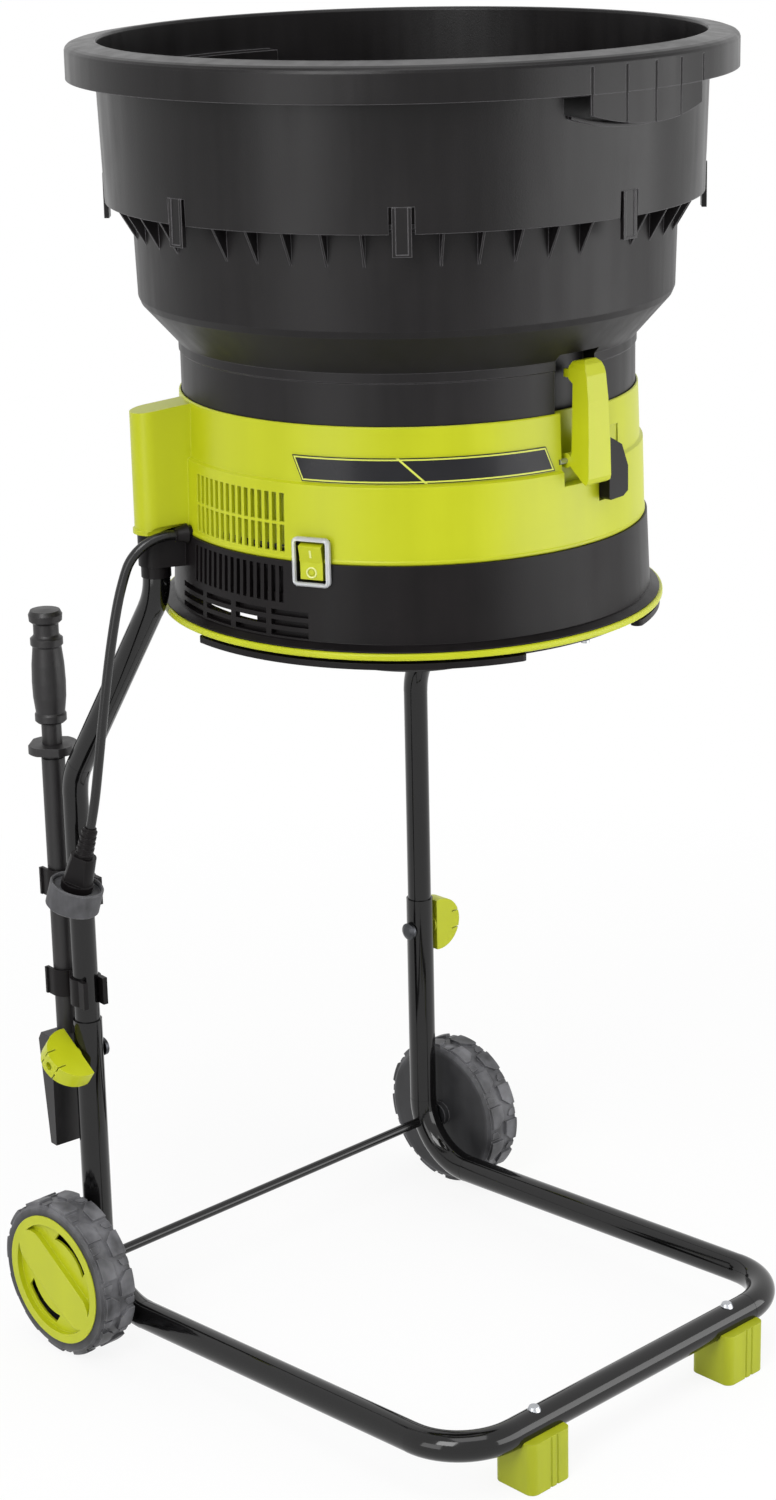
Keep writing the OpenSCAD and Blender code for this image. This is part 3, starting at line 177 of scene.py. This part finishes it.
def mouldedPlastic(name, v):
    mat, tree, skin, coords = newMaterial(name)
    drawn = addNode(tree, "ShaderNodeMapping", {
        "Vector": coords, "Scale": (1, 1, plasticSet["draw"])}).outputs[0]
    cloud = addNode(tree, "ShaderNodeTexNoise", {
        "Vector": coords, "Scale": 1 / (v["cloud"] * mm), "Detail": 3.0})
    flow = addNode(tree, "ShaderNodeTexNoise", {
        "Vector": drawn, "Scale": 1 / (v["flow"] * mm), "Detail": 4.0})
    both = addNode(tree, "ShaderNodeMath", {
        0: cloud.outputs["Fac"], 1: flow.outputs["Fac"]}, operation="MULTIPLY")
    tintFrom, tintTo = plasticSet["tintSpan"]
    tint = addNode(tree, "ShaderNodeMapRange", {
        "Value": both.outputs[0], 1: tintFrom, 2: tintTo, 3: 0.0, 4: 1.0})
    colour = addNode(tree, "ShaderNodeMix", {
        0: tint.outputs[0], 6: fromHex(v["low"]), 7: fromHex(v["high"])}, data_type="RGBA")
    edge = addNode(tree, "ShaderNodeBevel", {"Radius": v["edge"] * mm}, samples=plasticSet["edgeSamples"])
    face = addNode(tree, "ShaderNodeNewGeometry").outputs["Normal"]
    match = addNode(tree, "ShaderNodeVectorMath", {0: edge.outputs[0], 1: face}, operation="DOT_PRODUCT")
    flatTurn, edgeTurn = plasticSet["edgeSpan"]
    # rounded edges painted paler: partly wear, partly a painted highlight along each edge
    rubAndEdgeLight = addNode(tree, "ShaderNodeMapRange", {
        "Value": match.outputs["Value"], 1: flatTurn, 2: edgeTurn, 3: 0.0, 4: v["rubAndEdgeLight"]})
    wornAndEdgeLit = addNode(tree, "ShaderNodeMix", {
        0: rubAndEdgeLight.outputs[0], 6: colour.outputs[2], 7: fromHex(v["pale"])}, data_type="RGBA")
    if "scuff" in v:  # tread scuffed grey by the ground, from one radius about the axle to another
        scuff = v["scuff"]
        axle = tuple(c * mm for c in (0, *scuff["axle"]))
        off = addNode(tree, "ShaderNodeVectorMath", {0: coords, 1: axle}, operation="SUBTRACT").outputs[0]
        flat = addNode(tree, "ShaderNodeVectorMath", {
            0: off, 1: (0, 1, 1)}, operation="MULTIPLY").outputs[0]
        reach = addNode(tree, "ShaderNodeVectorMath", {0: flat}, operation="LENGTH").outputs["Value"]
        ground = addNode(tree, "ShaderNodeMapRange", {
            "Value": reach, 1: scuff["from"] * mm, 2: scuff["to"] * mm, 3: 0.0, 4: scuff["share"]})
        patchy = addNode(tree, "ShaderNodeMath", {
            0: ground.outputs[0], 1: tint.outputs[0]}, operation="MULTIPLY")
        wornAndEdgeLit = addNode(tree, "ShaderNodeMix", {
            0: patchy.outputs[0], 6: wornAndEdgeLit.outputs[2], 7: fromHex(scuff["colour"])}, data_type="RGBA")
    tree.links.new(wornAndEdgeLit.outputs[2], skin.inputs["Base Color"])
    roughFrom, roughTo = plasticSet["roughSpan"]
    rough = addNode(tree, "ShaderNodeMapRange", {
        "Value": both.outputs[0], 1: roughFrom, 2: roughTo, 3: v["rough"][0], 4: v["rough"][1]})
    tree.links.new(rough.outputs[0], skin.inputs["Roughness"])
    grain = addNode(tree, "ShaderNodeTexNoise", {
        "Vector": coords, "Scale": 1 / (v["grain"] * mm), "Detail": 2.0})
    relief = addNode(tree, "ShaderNodeBump", {
        "Strength": v["relief"], "Distance": plasticSet["depth"] * mm, "Height": grain.outputs["Fac"],
        "Normal": edge.outputs[0]})
    tree.links.new(relief.outputs[0], skin.inputs["Normal"])
    skin.inputs["Specular IOR Level"].default_value = v["shine"]
    return mat


limeAbs = mouldedPlastic("ABS, moulded satin lime", {
    "low": "#b4bb12", "high": "#bec51c", "pale": "#d3d958", "rubAndEdgeLight": 0.5, "cloud": 120, "flow": 40,
    "rough": (0.32, 0.44), "edge": 0.9, "grain": 1.6, "relief": 0.12, "shine": 0.35})
charcoalPp = mouldedPlastic("polypropylene, moulded fine texture", {
    "low": "#0b090a", "high": "#131112", "pale": "#807e81", "rubAndEdgeLight": 0.6, "cloud": 90, "flow": 14,
    "rough": (0.28, 0.42), "edge": 1.3, "grain": 1.4, "relief": 0.25, "shine": 0.25})
bowlPp = mouldedPlastic("polypropylene, moulded matt texture", {
    "low": "#100e0f", "high": "#191718", "pale": "#767477", "rubAndEdgeLight": 0.6, "cloud": 90, "flow": 14,
    "rough": (0.36, 0.5), "edge": 1.2, "grain": 1.4, "relief": 0.25, "shine": 0.22})
# the feet take a darker copy of the lime ABS: painted shade, not a different colour of plastic
footLimeShaded = mouldedPlastic("ABS, moulded matt lime, painted shade", {
    "low": "#9ca310", "high": "#a8af1a", "pale": "#c3c950", "rubAndEdgeLight": 0.5, "cloud": 60, "flow": 20,
    "rough": (0.4, 0.55), "edge": 0.9, "grain": 1.6, "relief": 0.12, "shine": 0.35})
blackAbs = mouldedPlastic("ABS, moulded matt black", {
    "low": "#0d0b0c", "high": "#151213", "pale": "#3c3a3b", "rubAndEdgeLight": 0.4, "cloud": 80, "flow": 22,
    "rough": (0.34, 0.5), "edge": 0.7, "grain": 1.2, "relief": 0.22, "shine": 0.15})
tyrePe = mouldedPlastic("polyethylene, moulded wheel", {
    "low": "#222224", "high": "#363638", "pale": "#808083", "rubAndEdgeLight": 0.7, "cloud": 30, "flow": 18,
    "rough": (0.45, 0.62), "edge": 0.9, "grain": 1.0, "relief": 0.35, "shine": 0.4,
    "scuff": {"axle": (221.125, 78), "from": 66, "to": 75, "share": 0.9, "colour": "#77777b"}})
gripPp = mouldedPlastic("polypropylene, moulded grip", {
    "low": "#161516", "high": "#222021", "pale": "#48484a", "rubAndEdgeLight": 0.4, "cloud": 40, "flow": 10,
    "rough": (0.36, 0.52), "edge": 0.7, "grain": 1.0, "relief": 0.25, "shine": 0.4})
ringTpe = mouldedPlastic("thermoplastic rubber, moulded ring", {
    "low": "#38383a", "high": "#545457", "pale": "#8f8f92", "rubAndEdgeLight": 0.8, "cloud": 14, "flow": 9,
    "rough": (0.5, 0.7), "edge": 0.9, "grain": 0.8, "relief": 0.4, "shine": 0.35})
markLime = mouldedPlastic("ABS, moulded pale mark", {
    "low": "#dce28a", "high": "#e6eba0", "pale": "#f0f3c4", "rubAndEdgeLight": 0.5, "cloud": 6, "flow": 3,
    "rough": (0.3, 0.4), "edge": 0.2, "grain": 0.6, "relief": 0.1, "shine": 0.5})
lineNylon = mouldedPlastic("nylon, extruded line", {
    "low": "#c46f1c", "high": "#d98432", "pale": "#e3a566", "rubAndEdgeLight": 0.3, "cloud": 20, "flow": 5,
    "rough": (0.3, 0.4), "edge": 0.2, "grain": 0.6, "relief": 0.1, "shine": 0.5})


# steel tube under gloss black powder: long clean streaks with a faint orange peel
def powderTube(name, v):
    mat, tree, skin, coords = newMaterial(name)
    peel = addNode(tree, "ShaderNodeTexNoise", {
        "Vector": coords, "Scale": 1 / (v["peel"] * mm), "Detail": 1.0})
    wear = addNode(tree, "ShaderNodeTexNoise", {
        "Vector": coords, "Scale": 1 / (v["wear"] * mm), "Detail": 4.0})
    colour = addNode(tree, "ShaderNodeMix", {
        0: wear.outputs["Fac"], 6: fromHex(v["low"]), 7: fromHex(v["high"])}, data_type="RGBA")
    tree.links.new(colour.outputs[2], skin.inputs["Base Color"])
    rough = addNode(tree, "ShaderNodeMapRange", {
        "Value": wear.outputs["Fac"], 1: hazeSpan[0], 2: hazeSpan[1], 3: v["rough"][0], 4: v["rough"][1]})
    tree.links.new(rough.outputs[0], skin.inputs["Roughness"])
    relief = addNode(tree, "ShaderNodeBump", {
        "Strength": v["relief"], "Distance": v["depth"] * mm, "Height": peel.outputs["Fac"]})
    tree.links.new(relief.outputs[0], skin.inputs["Normal"])
    skin.inputs["IOR"].default_value = v["ior"]
    skin.inputs["Specular IOR Level"].default_value = v["shine"]
    return mat


tubeBlack = powderTube("steel tube, gloss black powder coat", {
    "low": "#060606", "high": "#0c0b0c", "peel": 2.4, "wear": 60, "rough": (0.06, 0.12), "relief": 0.06,
    "depth": 0.2, "ior": 1.52, "shine": 0.4})
cordPvc = powderTube("PVC, extruded cord jacket", {
    "low": "#0a0a0a", "high": "#121112", "peel": 3.0, "wear": 30, "rough": (0.2, 0.3), "relief": 0.12,
    "depth": 0.2, "ior": 1.52, "shine": 0.42})


# steel fittings and copper: bright or blackened, with a faint haze and soft edges
def platedSteel(name, v):
    mat, tree, skin, coords = newMaterial(name)
    haze = addNode(tree, "ShaderNodeTexNoise", {
        "Vector": coords, "Scale": 1 / (v["haze"] * mm), "Detail": 4.0})
    colour = addNode(tree, "ShaderNodeMix", {
        0: haze.outputs["Fac"], 6: fromHex(v["low"]), 7: fromHex(v["high"])}, data_type="RGBA")
    tree.links.new(colour.outputs[2], skin.inputs["Base Color"])
    rough = addNode(tree, "ShaderNodeMapRange", {
        "Value": haze.outputs["Fac"], 1: hazeSpan[0], 2: hazeSpan[1], 3: v["rough"][0], 4: v["rough"][1]})
    tree.links.new(rough.outputs[0], skin.inputs["Roughness"])
    edge = addNode(tree, "ShaderNodeBevel", {"Radius": v["edge"] * mm}, samples=4)
    tree.links.new(edge.outputs[0], skin.inputs["Normal"])
    skin.inputs["Metallic"].default_value = 1.0
    return mat


zincSteel = platedSteel("steel, zinc plated", {
    "low": "#a6a9ae", "high": "#c3c5c8", "haze": 6, "rough": (0.3, 0.46), "edge": 0.4})
oxideSteel = platedSteel("steel, black oxide", {
    "low": "#3a3b3d", "high": "#55565a", "haze": 6, "rough": (0.3, 0.45), "edge": 0.4})
copperWire = platedSteel("copper, varnished winding", {
    "low": "#8a4f28", "high": "#a8683a", "haze": 3, "rough": (0.3, 0.45), "edge": 0.4})


# clear polycarbonate: bright milky rims with a faint moulding haze
def clearPlastic(name, v):
    mat, tree, skin, coords = newMaterial(name)
    haze = addNode(tree, "ShaderNodeTexNoise", {
        "Vector": coords, "Scale": 1 / (v["haze"] * mm), "Detail": 3.0})
    rough = addNode(tree, "ShaderNodeMapRange", {
        "Value": haze.outputs["Fac"], 1: hazeSpan[0], 2: hazeSpan[1], 3: v["rough"][0], 4: v["rough"][1]})
    tree.links.new(rough.outputs[0], skin.inputs["Roughness"])
    edge = addNode(tree, "ShaderNodeBevel", {"Radius": v["edge"] * mm}, samples=4)
    tree.links.new(edge.outputs[0], skin.inputs["Normal"])
    skin.inputs["Base Color"].default_value = fromHex(v["colour"])
    skin.inputs["Transmission Weight"].default_value = v["clear"]
    skin.inputs["IOR"].default_value = v["ior"]
    return mat


switchPc = clearPlastic("polycarbonate, moulded clear", {
    "colour": "#eceef2", "haze": 8, "rough": (0.05, 0.16), "edge": 0.6, "clear": 0.45, "ior": 1.58})


# printed film on the drum: bare dark face, thin lime border and one slanted stripe, under a thin laminate
def labelFilm(name, v):
    mat, tree, skin, coords = newMaterial(name)
    xyz = addNode(tree, "ShaderNodeSeparateXYZ", {0: coords}).outputs
    front = addNode(tree, "ShaderNodeMath", {0: v["axisY"] * mm, 1: xyz["Y"]}, operation="SUBTRACT")
    turn = addNode(tree, "ShaderNodeMath", {0: xyz["X"], 1: front.outputs[0]}, operation="ARCTAN2")
    along = addNode(tree, "ShaderNodeMath", {0: turn.outputs[0], 1: v["radius"] * mm}, operation="MULTIPLY")
    drop = addNode(tree, "ShaderNodeMath", {0: v["top"] * mm, 1: xyz["Z"]}, operation="SUBTRACT")
    slope = -math.tan(math.radians(v["lean"]))
    lean = addNode(tree, "ShaderNodeMath", {
        0: drop.outputs[0], 1: slope, 2: along.outputs[0]}, operation="MULTIPLY_ADD")
    start, end = v["ends"]
    inset = []
    spans = ((lean, (start + end) / 2, (end - start) / 2), (drop, v["height"] / 2, v["height"] / 2))
    for value, middle, half in spans:
        off = addNode(tree, "ShaderNodeMath", {0: value.outputs[0], 1: middle * mm}, operation="SUBTRACT")
        far = addNode(tree, "ShaderNodeMath", {0: off.outputs[0]}, operation="ABSOLUTE")
        inset.append(addNode(tree, "ShaderNodeMath", {
            0: half * mm, 1: far.outputs[0]}, operation="SUBTRACT").outputs[0])
    rim = addNode(tree, "ShaderNodeMath", {0: inset[0], 1: inset[1]}, operation="MINIMUM")
    border = addNode(tree, "ShaderNodeMath", {
        0: rim.outputs[0], 1: v["border"] * mm, 2: v["line"] * mm / 2}, operation="COMPARE")
    slant = addNode(tree, "ShaderNodeMath", {
        0: drop.outputs[0], 1: -v["slant"], 2: along.outputs[0]}, operation="MULTIPLY_ADD")
    stripe = addNode(tree, "ShaderNodeMath", {
        0: slant.outputs[0], 1: v["stripe"] * mm, 2: v["line"] * mm}, operation="COMPARE")
    lines = addNode(tree, "ShaderNodeMath", {
        0: border.outputs[0], 1: stripe.outputs[0]}, operation="MAXIMUM")
    cloud = addNode(tree, "ShaderNodeTexNoise", {
        "Vector": coords, "Scale": 1 / (v["cloud"] * mm), "Detail": 2.0})
    dark = addNode(tree, "ShaderNodeMix", {
        0: cloud.outputs["Fac"], 6: fromHex(v["low"]), 7: fromHex(v["high"])}, data_type="RGBA")
    colour = addNode(tree, "ShaderNodeMix", {
        0: lines.outputs[0], 6: dark.outputs[2], 7: fromHex(v["print"])}, data_type="RGBA")
    tree.links.new(colour.outputs[2], skin.inputs["Base Color"])
    rough = addNode(tree, "ShaderNodeMapRange", {
        "Value": cloud.outputs["Fac"], 1: hazeSpan[0], 2: hazeSpan[1], 3: v["rough"][0], 4: v["rough"][1]})
    tree.links.new(rough.outputs[0], skin.inputs["Roughness"])
    skin.inputs["Specular IOR Level"].default_value = v["shine"]
    skin.inputs["Coat Weight"].default_value = v["coat"][0]
    skin.inputs["Coat Roughness"].default_value = v["coat"][1]
    return mat


plateFilm = labelFilm("polyester film, printed plain", {
    "low": "#131316", "high": "#1c1c20", "print": "#cdd45a", "cloud": 30, "rough": (0.24, 0.36),
    "coat": (0.05, 0.1), "shine": 0.2, "axisY": -2, "radius": 208.5, "top": 922, "height": 22, "lean": 23,
    "ends": (-265.6, -38.4), "border": 1.5, "line": 1.3, "stripe": -172, "slant": 1.1})

finishes = {
    limeAbs: ["housing_upper", "trim_ring", "lever_front", "lever_rear", "switch_rocker", "knob_left",
              "knob_right", "hub_cover_left", "hub_cover_right"],
    footLimeShaded: ["foot_left", "foot_right"],
    charcoalPp: ["hopper_upper"],
    bowlPp: ["hopper_lower"],
    ringTpe: ["plug_shroud"],
    blackAbs: ["housing_lower", "bag_ring", "motor_spider", "cup_cap", "fan", "line_head", "lock_front",
               "lock_rear", "cord_gland", "plug_body", "tool_clip_upper", "tool_clip_lower"],
    gripPp: ["tool_grip", "tool_guard", "tool_tube", "tool_paddle"],
    tyrePe: ["wheel_left", "wheel_right"],
    plateFilm: ["label_plate"],
    cordPvc: ["cord"],
    switchPc: ["switch_frame"],
    tubeBlack: ["lower_frame", "leg_left", "leg_right", "axle_rod"],
    zincSteel: ["housing_screws", "motor_can", "bearing_lower", "bearing_upper", "motor_shaft", "head_nut",
                "lever_pins", "plug_blades", "axle_nuts", "foot_screws"],
    oxideSteel: ["leg_bolts", "leg_screws"],
    copperWire: ["field_core", "armature"],
    lineNylon: ["cutting_lines"],
}
for mat, names in finishes.items():
    for name in names:
        ob = nodes[name]
        ob.data.materials.clear()
        ob.data.materials.append(mat)
print("finishes set:", len(finishes))

# short mains lead, hanging from the gland to the plug's sleeve
cordSet = {
    "diameter": 9, "steps": 4, "sides": 6,
    "points": [
        (-211.205, 81.196, 831), (-215.857, 83.028, 831), (-220.4, 84.8, 830.7), (-229.3, 88.6, 828.5),
        (-237.1, 92.7, 824), (-243.2, 97, 817.6), (-247.3, 101.2, 809.6), (-249.6, 104.6, 800.6),
        (-252.9, 109.7, 781.7), (-255.5, 113.7, 762.5), (-258.5, 118.9, 733.3), (-261.1, 123.4, 704.1),
        (-263.4, 127.5, 674.7), (-265.5, 131.5, 645.3), (-267.5, 135.4, 615.9), (-269.6, 139.6, 586.5),
        (-271.68, 143.9, 563.266), (-272.4, 145.4, 557.5)],
}


def smoothLine(points, steps):
    pts = [Vector(p) for p in points]
    line = []
    for i in range(len(pts) - 1):
        a, b, c, d = pts[max(i - 1, 0)], pts[i], pts[i + 1], pts[min(i + 2, len(pts) - 1)]
        for k in range(steps):
            t = k / steps
            bend = (2 * a - 5 * b + 4 * c - d) * t * t + (3 * b - a - 3 * c + d) * t ** 3
            line.append(0.5 * (2 * b + (c - a) * t + bend))
    return line + [pts[-1]]


route = [p * mm for p in smoothLine(cordSet["points"], cordSet["steps"])]
curve = bpy.data.curves.new("cordLead", "CURVE")
curve.dimensions = "3D"
curve.bevel_depth = cordSet["diameter"] * mm / 2
curve.bevel_resolution = cordSet["sides"]
curve.use_fill_caps = True
spline = curve.splines.new("POLY")
spline.points.add(len(route) - 1)
for point, p in zip(spline.points, route):
    point.co = (*p, 1)
spline.use_smooth = True
lead = bpy.data.objects.new("cordLead", curve)
scene.collection.objects.link(lead)
curve.materials.append(cordPvc)
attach(lead, "stand")
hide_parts("cord")


# places a mesh drawn in millimetres and gives it its materials and body
def keepMesh(bm, name, place, materials, body):
    bmesh.ops.recalc_face_normals(bm, faces=bm.faces)
    bmesh.ops.scale(bm, vec=(mm, mm, mm), verts=bm.verts)
    bmesh.ops.transform(bm, matrix=place, verts=bm.verts)
    mesh = bpy.data.meshes.new(name)
    bm.to_mesh(mesh)
    bm.free()
    for mat in materials:
        mesh.materials.append(mat)
    ob = bpy.data.objects.new(name, mesh)
    scene.collection.objects.link(ob)
    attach(ob, body)
    return ob


# clear switch cover: a raised rim, then a dark gap and a well round the rocker
# each step goes inwards and then up or down, and from darkFrom on the faces are dark
coverSet = {
    "pivot": (-195.401, -82.937, 832), "turn": -67.5, "face": 4, "size": (35, 43), "corner": 5,
    "cornerSteps": 5, "darkFrom": 6,
    "steps": [(0, 3.2), (1.0, 1.3), (0.6, 0.4), (1.2, 0), (0.5, -0.5), (0.3, -2.2), (0.4, 0), (0.2, -11.2)],
}
swing = Matrix.Rotation(math.radians(coverSet["turn"]), 4, "Z") @ Matrix.Rotation(math.radians(90), 4, "X")
seat = Matrix.Translation(Vector(coverSet["pivot"]) * mm) @ swing
bm = bmesh.new()
wide, tall = coverSet["size"]
signs = ((-1, -1), (1, -1), (1, 1), (-1, 1))
corners = [bm.verts.new((x * wide / 2, y * tall / 2, coverSet["face"])) for x, y in signs]
bm.faces.new(corners)
bmesh.ops.bevel(bm, geom=corners, offset=coverSet["corner"], segments=coverSet["cornerSteps"], profile=0.5,
                affect="VERTICES", material=-1)
raised = bmesh.ops.extrude_face_region(bm, geom=bm.faces[:])
top = [g for g in raised["geom"] if isinstance(g, bmesh.types.BMFace)][0]
bmesh.ops.translate(bm, vec=(0, 0, coverSet["steps"][0][1]), verts=top.verts)
for k, (inward, rise) in enumerate(coverSet["steps"][1:], 1):
    made = bmesh.ops.inset_region(bm, faces=[top], thickness=inward, depth=0, use_even_offset=True)
    bmesh.ops.translate(bm, vec=(0, 0, rise), verts=top.verts)
    if k >= coverSet["darkFrom"]:
        for face in made["faces"]:
            face.material_index = 1
unseen = [f for f in bm.faces if f is top or f.normal.z < -0.9]  # the well's floor and the underside
bmesh.ops.delete(bm, geom=unseen, context="FACES_ONLY")
cover = keepMesh(bm, "switchCover", seat, [switchPc, blackAbs], "stand")
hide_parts("switch_frame")

# marks moulded on the rocker's two slopes: a ring below and a bar above
markSet = {
    "tilt": 7, "lean": 6.8, "ring": (4.3, 0.75), "ringSides": 10, "ringSteps": 28, "ringAt": (0, -8.5, 6.7),
    "bar": (1.8, 7.0, 1.2), "barAt": (0, 8.2, 6.5), "barEdge": 0.3, "barSteps": 2,
}
tipped = seat @ Matrix.Rotation(math.radians(markSet["tilt"]), 4, "X")
lean = math.radians(markSet["lean"])
major, minor = markSet["ring"]
bm = bmesh.new()
bmesh.ops.create_circle(bm, segments=markSet["ringSides"], radius=minor)
bmesh.ops.rotate(bm, cent=(0, 0, 0), matrix=Matrix.Rotation(math.radians(90), 3, "X"), verts=bm.verts)
bmesh.ops.translate(bm, vec=(major, 0, 0), verts=bm.verts)
bmesh.ops.spin(bm, geom=bm.verts[:] + bm.edges[:], cent=(0, 0, 0), axis=(0, 0, 1), angle=math.radians(360),
               steps=markSet["ringSteps"], use_merge=True)
bmesh.ops.rotate(bm, cent=(0, 0, 0), matrix=Matrix.Rotation(-lean, 3, "X"), verts=bm.verts)
bmesh.ops.translate(bm, vec=markSet["ringAt"], verts=bm.verts)
keepMesh(bm, "rockerRing", tipped, [markLime], "rocker")
bm = bmesh.new()
bmesh.ops.create_cube(bm, size=1)
bmesh.ops.scale(bm, vec=markSet["bar"], verts=bm.verts)
bmesh.ops.bevel(bm, geom=bm.edges[:], offset=markSet["barEdge"], segments=markSet["barSteps"], profile=0.5,
                affect="EDGES", material=-1)
bmesh.ops.rotate(bm, cent=(0, 0, 0), matrix=Matrix.Rotation(lean, 3, "X"), verts=bm.verts)
bmesh.ops.translate(bm, vec=markSet["barAt"], verts=bm.verts)
keepMesh(bm, "rockerBar", tipped, [markLime], "rocker")
print("switch set")

# baffle strips against the inside of the black shell, so that light shows through a few slots only
baffleSet = {
    "axis": (0, -2, 0), "radius": 208, "wall": 3.4, "steps": 24,
    "strips": {"Upper": {"turn": (66, 114), "heights": (779.5, 800)},
               "Lower": {"turn": (66, 84), "heights": (769.5, 779.4)}},
}


def baffleStrip(name, turn, heights):
    start, end = (math.radians(a) for a in turn)
    x = baffleSet["radius"] * math.sin(start)
    y = baffleSet["axis"][1] - baffleSet["radius"] * math.cos(start)
    bm = bmesh.new()
    ends = [bm.verts.new((x, y, z)) for z in heights]
    bm.edges.new(ends)
    bmesh.ops.spin(bm, geom=bm.verts[:] + bm.edges[:], cent=baffleSet["axis"], axis=(0, 0, 1),
                   angle=end - start, steps=baffleSet["steps"])
    for face in bm.faces:  # the wall grows away from the side that a face looks to, so it looks to the axis
        out = face.calc_center_median() - Vector(baffleSet["axis"])
        if face.normal.xy.dot(out.xy) > 0:
            face.normal_flip()
    bmesh.ops.solidify(bm, geom=bm.faces[:], thickness=baffleSet["wall"])
    keepMesh(bm, name, Matrix.Identity(4), [blackAbs], "stand")


for side, sign in (("Left", -1), ("Right", 1)):
    for name, v in baffleSet["strips"].items():
        baffleStrip("ventBaffle" + name + side, [sign * a for a in v["turn"]], v["heights"])
print("baffles set")
